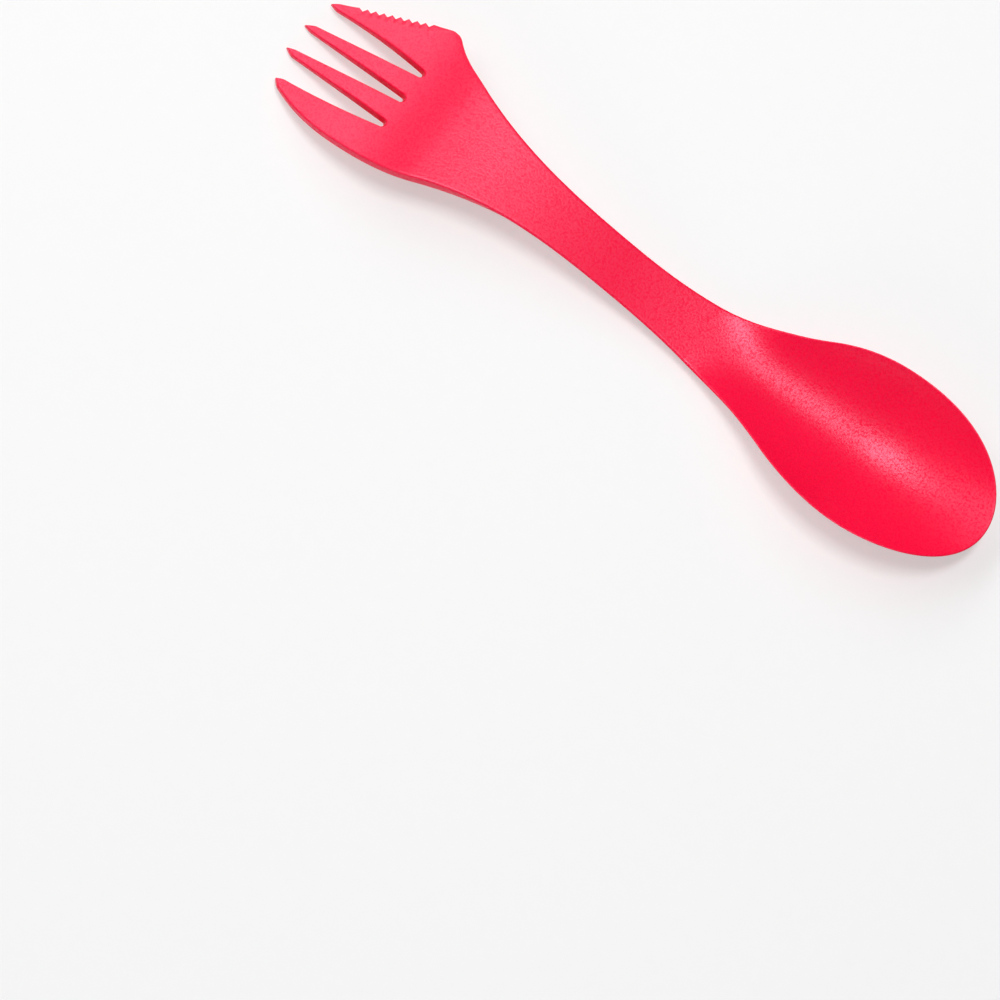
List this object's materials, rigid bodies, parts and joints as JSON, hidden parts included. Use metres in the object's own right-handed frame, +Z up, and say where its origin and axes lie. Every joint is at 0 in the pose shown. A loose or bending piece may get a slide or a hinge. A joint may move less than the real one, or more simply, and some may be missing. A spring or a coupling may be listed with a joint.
{
  "type": "spork",
  "caption": "Moulded plastic spork with a dished spoon bowl, a waisted handle and an arched four-tine fork whose outer tine carries a toothed cutting edge.",
  "frame": {"origin": "centre of the bounding box's base, on the flat surface the spork lies on", "axes": "+X along the length from the fork to the spoon's lip, +Y towards the toothed tine, +Z up with the bowl open upwards"},
  "size_m": [0.171, 0.0366, 0.0103],
  "materials": {
    "moulding": "fine moulded grain"
  },
  "bodies": {
    "root": {"spoon_bowl": "moulding", "handle": "moulding", "fork_palm": "moulding", "plain_tine": "moulding", "inner_tine_1": "moulding", "inner_tine_2": "moulding", "knife_tine": "moulding"}
  },
  "joints": []
}
